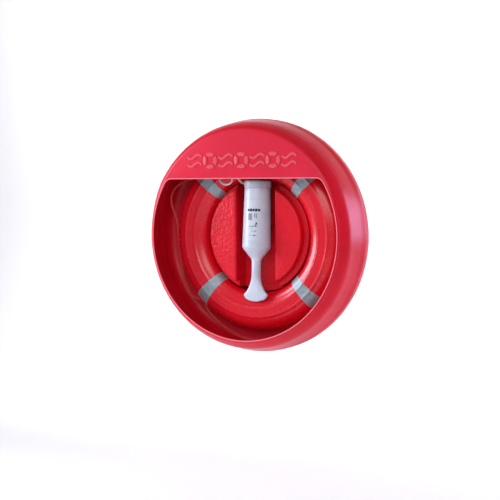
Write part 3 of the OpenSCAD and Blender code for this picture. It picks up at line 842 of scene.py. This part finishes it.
def makeBand(name, node, at):
    # a band wrapped on the tube, with its UV map in metres along and over it
    s = ringSizes
    thick = s["bandThick"]
    outside = [tubePoint(a, thick) for a in tubeAngles(0, 354, 118)]
    inside = [tubePoint(a, 0.1) for a in tubeAngles(354, 0, 59)]
    bm = bmesh.new()
    spinProfile(bm, outside + inside, 10, angle=math.degrees(s["bandWide"] / tubeAt))
    bmesh.ops.rotate(bm, verts=bm.verts, matrix=Matrix.Rotation(math.radians(at), 3, "Z"))
    flat = bm.loops.layers.uv.new("UVMap")
    for face in bm.faces:
        middle = face.calc_center_median()
        for loop in face.loops:
            x, y, z = loop.vert.co
            along = math.atan2(y, x) - math.radians(at)
            along = math.atan2(math.sin(along), math.cos(along))
            over = math.atan2(z, math.hypot(x, y) - tubeAt)
            if middle.z < 0 and over > 3:        # keeps the faces behind the seam in one piece
                over -= 2 * math.pi
            loop[flat].uv = (along * tubeAt * metre, over * (tubeWide + tubeDeep) / 2 * metre)
    addPiece(name, bm, "ring", tape, [node], place=ringPlace)


makeRingHalf("ringShellFront", "ring_shell_front", True)
makeRingHalf("ringShellBack", "ring_shell_back", False)
corners = {"upper_right": 45, "upper_left": 135, "lower_left": 225, "lower_right": 315}
for corner, at in corners.items():
    name = "reflectiveBand" + corner.title().replace("_", "")
    makeBand(name, "reflective_band_" + corner, at)
print("ring made")


# Grab line fittings
saddleSizes = {
    "long": 26, "foot": 34, "plate": 2.5,
    "hoopUp": 9.5, "hoopTall": 7.6, "hoopWide": 8.6, "hoopFoot": 9,     # outside of the bridge
    "boreUp": 7.9, "bore": 5.6,                                         # where the rope lies
    "off": 1,                # gap to the tube, which the band fills
}


def addBlock(bm, low, high, edge):
    # a box with rounded edges
    made = bmesh.ops.create_cube(bm, size=1)["verts"]
    for v in made:
        v.co = Vector([low[i] if v.co[i] < 0 else high[i] for i in range(3)])
    edges = list({e for v in made for e in v.link_edges})
    bmesh.ops.bevel(bm, geom=edges, offset=edge, affect="EDGES", segments=3, profile=0.5,
                    material=-1)


def makeSaddles():
    s = saddleSizes
    start = ringOuter + s["off"]
    long, foot, bore = s["long"] / 2, s["foot"] / 2, s["bore"]
    # the bridge over the rope: a half hoop, drawn across the rope as (out, up) points
    turns = [math.radians(a) for a in range(0, 181, 15)]
    hoop = [(start + 1, s["hoopFoot"])]
    hoop += [(start + s["hoopUp"] + math.sin(a) * s["hoopTall"], math.cos(a) * s["hoopWide"])
             for a in turns]
    hoop += [(start + 1, -s["hoopFoot"]), (start + 1, -bore)]
    hoop += [(start + s["boreUp"] + math.sin(a) * bore, math.cos(a) * bore)
             for a in turns[::-1]]
    hoop += [(start + 1, bore)]
    rows = [[Vector((x, y, z)) for x, z in hoop] for y in (1 - long, long - 1)]
    bm = bmesh.new()
    for i in range(4):
        one = bmesh.new()
        addBlock(one, (start, -long, -foot), (start + s["plate"], long, foot), 1)
        loftRows(one, rows, closeStart=True, closeEnd=True)
        addCopy(bm, one, Matrix.Rotation(math.radians(45 + 90 * i), 4, "Z"))
    addPiece("grabLineSaddles", bm, "ring", ringRed, ["grab_line_saddles"],
             place=ringPlace)


makeSaddles()


# Throwing bottle
bottleSizes = {
    "top": 218, "capFoot": 193, "shoulder": -45,
    "bodyLow": 58.5, "bodyHigh": 52.5, "bodyTop": 224,    # radii at the shoulder and the top
    "mouthStep": 3, "bodyRows": 12, "sides": 96,
    # radius and height down the shoulder, which is rounded into a cone, and the cone into the neck
    "shoulderRows": (
        (58.6, -41), (58.2, -46), (56.6, -51.5), (52.6, -58), (46, -66), (38.5, -75), (31.5, -83),
        (26, -89.5), (22.4, -95), (20.2, -101), (19.3, -108), (19, -118), (19, -135), (19.1, -150)),
    # half width, half depth and height down the neck, which flattens and flares into the handle
    "handleRows": (
        (19.6, 18, -164), (20.8, 16, -176), (23, 13.8, -187), (26.6, 11.8, -198),
        (31.2, 10.4, -209), (36.4, 9.6, -219), (41.6, 9.2, -227.5), (48.4, 9, -234.5),
        (53.4, 9, -240),
        (54.6, 9, -243.6), (53.4, 9, -248), (49, 9, -254), (41.4, 8.8, -260),
        (31, 8.2, -264.6), (20, 7, -267.6), (9, 4.6, -269.4), (3, 2.4, -269.9)),
}


def bottleRadius(z):
    s = bottleSizes
    return mix(s["bodyLow"], s["bodyHigh"], (z - s["shoulder"]) / (s["bodyTop"] - s["shoulder"]))


def bottleRow(wide, deep, z, power=2.0):
    # an oval, squarer as its power rises
    row = []
    for i in range(bottleSizes["sides"]):
        a = 2 * math.pi * i / bottleSizes["sides"]
        c, v = math.cos(a), math.sin(a)
        row.append(Vector((wide * math.copysign(abs(c) ** (2 / power), c),
                           deep * math.copysign(abs(v) ** (2 / power), v), z)))
    return row


def makeBottle():
    s = bottleSizes
    foot = s["capFoot"]
    # (height, how far inside the body's taper): the mouth, its step under the cap, then the body
    places = [(s["top"], s["mouthStep"]), (foot, s["mouthStep"]),
              (foot - 0.2, 1.2), (foot - 1, 0.4), (foot - 2.4, 0)]
    places += [(mix(foot - 3, s["shoulder"] + 6, i / s["bodyRows"]), 0)
               for i in range(1, s["bodyRows"] + 1)]
    rows = [bottleRow(bottleRadius(z) - back, bottleRadius(z) - back, z) for z, back in places]
    rows += [bottleRow(r, r, z) for r, z in s["shoulderRows"]]
    neckEnd = s["handleRows"][0][2]
    rows += [bottleRow(wide, deep, z, mix(2.0, 3.2, ease((neckEnd - z) / 60)))
             for wide, deep, z in s["handleRows"]]
    bm = bmesh.new()
    loftRows(bm, rows, closeStart=True, closeEnd=True)
    addPiece("throwBottle", bm, "bottle", bottleWhite, ["throw_bottle"], sharp=60,
             place=bottlePlace)


capSizes = {
    "radius": 55, "inside": 50.6, "foot": 193.5, "top": 224, "ribs": 48, "rib": 0.3, "roof": 219.5,
    "eye": 5.6, "eyeThick": 1.6, "eyeUp": 212,          # the eyelet that the line leaves by
}


def makeCap():
    s = capSizes
    radius, foot, top = s["radius"], s["foot"], s["top"]
    count = s["ribs"] * 4        # two points to a rib and two to each gap

    def capRow(r, z, ribbed=False):
        row = []
        for i in range(count):
            a = 2 * math.pi * i / count
            reach = r - (s["rib"] if ribbed and i % 4 in (2, 3) else 0)
            row.append(Vector((reach * math.cos(a), reach * math.sin(a), z)))
        return row

    rows = [capRow(s["inside"], s["roof"]), capRow(s["inside"], foot), capRow(radius - 1, foot),
            capRow(radius, foot + 1), capRow(radius, foot + 3),
            capRow(radius, foot + 4, True), capRow(radius - 0.1, top - 8, True)]
    rows += [capRow(radius - back, top - drop) for back, drop in (
        (0.2, 7), (1.2, 4.2), (3, 2), (5.4, 0.5), (8, 0))]
    bm = bmesh.new()
    loftRows(bm, rows, closeStart=True, closeEnd=True)
    eye = bmesh.new()
    spinProfile(eye, arcPoints(s["eye"], 0, s["eyeThick"], 0, 345, 11), 24)
    addCopy(bm, eye, Matrix.Translation((0.4 - radius, 0, s["eyeUp"])) @ Matrix.Rotation(
        math.radians(90), 4, "Y"))
    addPiece("bottleCap", bm, "cap", bottleWhite, ["bottle_cap"], sharp=40,
             place=bottlePlace)


# Marks on the label: blocks, bars and rows of dashes, with no lettering
labelSizes = {
    "wide": 62, "low": -20, "high": 142, "turn": 12, "film": 0.4, "lift": 0.06,
    "printLift": 0.52, "print": 0.12,
    # each mark: x from the label's middle, height, width, tallness, and whether it is black
    "marks": (
        (-22, 102, 9.8, 9.5, True), (-10.8, 102, 9.8, 11.5, True), (0.4, 102, 9.8, 9.5, True),
        (11.6, 102, 9.8, 11.5, True), (22.8, 102, 9.8, 9.5, True),
        (-14, 75, 17, 27, False), (6, 80, 5, 16, False), (13, 78, 4, 20, False),
        (13, 47, 6, 9, True), (9, 40, 4, 5, True), (-1, 36, 36, 3.4, False),
        (9, 17, 9, 2.6, True), (-3, 16, 9, 2.2, False), (-12, 0, 10, 2.4, False),
        (4, -1, 12, 3, True), (14, 0, 5, 2, False), (-6, 26, 8, 1.8, False)),
}


def wrapOn(bm, x, z, wide, tall, lift, thick):
    # a patch wrapped on the bottle, centred x round from the label's middle and z up
    across = max(2, int(wide / 3))
    high = max(1, int(tall / 12))
    grid = bmesh.ops.create_grid(bm, x_segments=across, y_segments=high, size=0.5)["verts"]
    for v in grid:
        px, pz = x + v.co.x * wide, z + v.co.y * tall
        r = bottleRadius(pz) + lift
        a = math.radians(-90 + labelSizes["turn"]) + px / r
        v.co = Vector((r * math.cos(a), r * math.sin(a), pz))
    faces = list({f for v in grid for f in v.link_faces})
    bmesh.ops.recalc_face_normals(bm, faces=faces)
    bmesh.ops.solidify(bm, geom=faces, thickness=-thick)


def makeLabel():
    s = labelSizes
    bm = bmesh.new()
    wrapOn(bm, 0, (s["low"] + s["high"]) / 2, s["wide"], s["high"] - s["low"], s["lift"], s["film"])
    addPiece("bottleLabel", bm, "bottle", labelFilm, ["bottle_label"],
             place=bottlePlace)
    black, grey = bmesh.new(), bmesh.new()
    for x, z, wide, tall, dark in s["marks"]:
        wrapOn(black if dark else grey, x, z, wide, tall, s["printLift"], s["print"])
    addPiece("labelPrintBlack", black, "bottle", printBlack, place=bottlePlace)
    addPiece("labelPrintGrey", grey, "bottle", printGrey, place=bottlePlace)


makeBottle()
makeCap()
makeLabel()
print("throwing line made")


# Nodes whose shape is already right
keptNodes = {
    "boss_screws": boltSteel, "rail_rivets": boltSteel, "fixing_spacers": boltSteel,
    "cradle_screws": boltSteel, "saddle_rivets": boltSteel,
    "mounting_rail_upper": zincSteel, "mounting_rail_lower": zincSteel,
    "bottle_cradle": housingRed, "ring_foam_core": paleFoam, "ring_filler_plug": ringRed,
    "grab_line_sleeve": blackSleeve, "stowed_line": whiteRope, "cap_seal": blackSleeve,
    "tail_sleeve": blackSleeve,
}
for node, material in keptNodes.items():
    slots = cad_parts[node].data.materials
    slots.clear()
    slots.append(material)
print("kept nodes painted")


# Floor and light
stageSizes = {"floor": -1.15, "back": 3.2, "bend": 1.2, "wide": 30.0, "front": -14.0, "top": 12}


def makeStage():
    # paper swept up from the floor to the back, in metres
    s = stageSizes
    bm = bmesh.new()
    line = [(s["front"], s["floor"]), (s["back"] - s["bend"], s["floor"])]
    line += arcPoints(s["back"] - s["bend"], s["floor"] + s["bend"], s["bend"], -80, 0, 8)
    line += [(s["back"], s["top"])]
    row = [bm.verts.new((-s["wide"], y, z)) for y, z in line]
    edges = [bm.edges.new(pair) for pair in zip(row, row[1:])]
    made = bmesh.ops.extrude_edge_only(bm, edges=edges)["geom"]
    far = [v for v in made if isinstance(v, bmesh.types.BMVert)]
    bmesh.ops.translate(bm, verts=far, vec=(2 * s["wide"], 0, 0))
    for face in bm.faces:
        face.smooth = True
    mesh = bpy.data.meshes.new("paleFloor")
    bm.to_mesh(mesh)
    bm.free()
    paper = newMaterial("matteStudioPaper", {"Roughness": 0.9, "Base Color": paint("FBFBFA")})[0]
    mesh.materials.append(paper)
    floor = bpy.data.objects.new("paleFloor", mesh)
    bpy.context.scene.collection.objects.link(floor)


# Each light: name, place, aim, width, height, power in watts, colour, spread in degrees
lights = (
    ("windowLeft", (-2.9, -1.6, 0.7), (0.2, -0.1, 0), 0.8, 1.6, 85, "F0F0FF", 180),
    ("cardRight", (3.1, 2.2, 0.58), (0.47, -0.1, 0.1), 1.0, 1.7, 95, "C2CAFF", 180),
    ("skyFront", (1.9, -6.0, 2.6), (0, 0, 0), 4.0, 3.0, 150, "FFFFFF", 180),
    ("skyTop", (0.2, -1.4, 3.6), (0, 0, 0), 3.0, 2.0, 8, "F0ECFF", 180),
    ("backdropWash", (0.0, 1.5, 3.2), (0, 3.4, 0.2), 7.0, 0.8, 75, "FFFFFF", 80),
)
worldLook = {"tint": "F0EEFA", "strength": 0.36}


def makeLights():
    for name, place, aim, wide, tall, power, tint, spread in lights:
        data = bpy.data.lights.new(name, "AREA")
        data.shape = "RECTANGLE"
        data.size, data.size_y = wide, tall
        data.energy = power
        data.color = paint(tint)[:3]
        data.spread = math.radians(spread)
        lamp = bpy.data.objects.new(name, data)
        lamp.location = place
        lamp.visible_camera = False
        lamp.rotation_euler = (Vector(aim) - Vector(place)).to_track_quat("-Z", "Y").to_euler()
        bpy.context.scene.collection.objects.link(lamp)
    world = bpy.data.worlds.new("studio")
    world.use_nodes = True
    sky = world.node_tree.nodes["Background"]
    sky.inputs["Color"].default_value = paint(worldLook["tint"])
    sky.inputs["Strength"].default_value = worldLook["strength"]
    bpy.context.scene.world = world
    bpy.context.scene.view_settings.view_transform = "Standard"


makeStage()
makeLights()
print("stage and lights made")
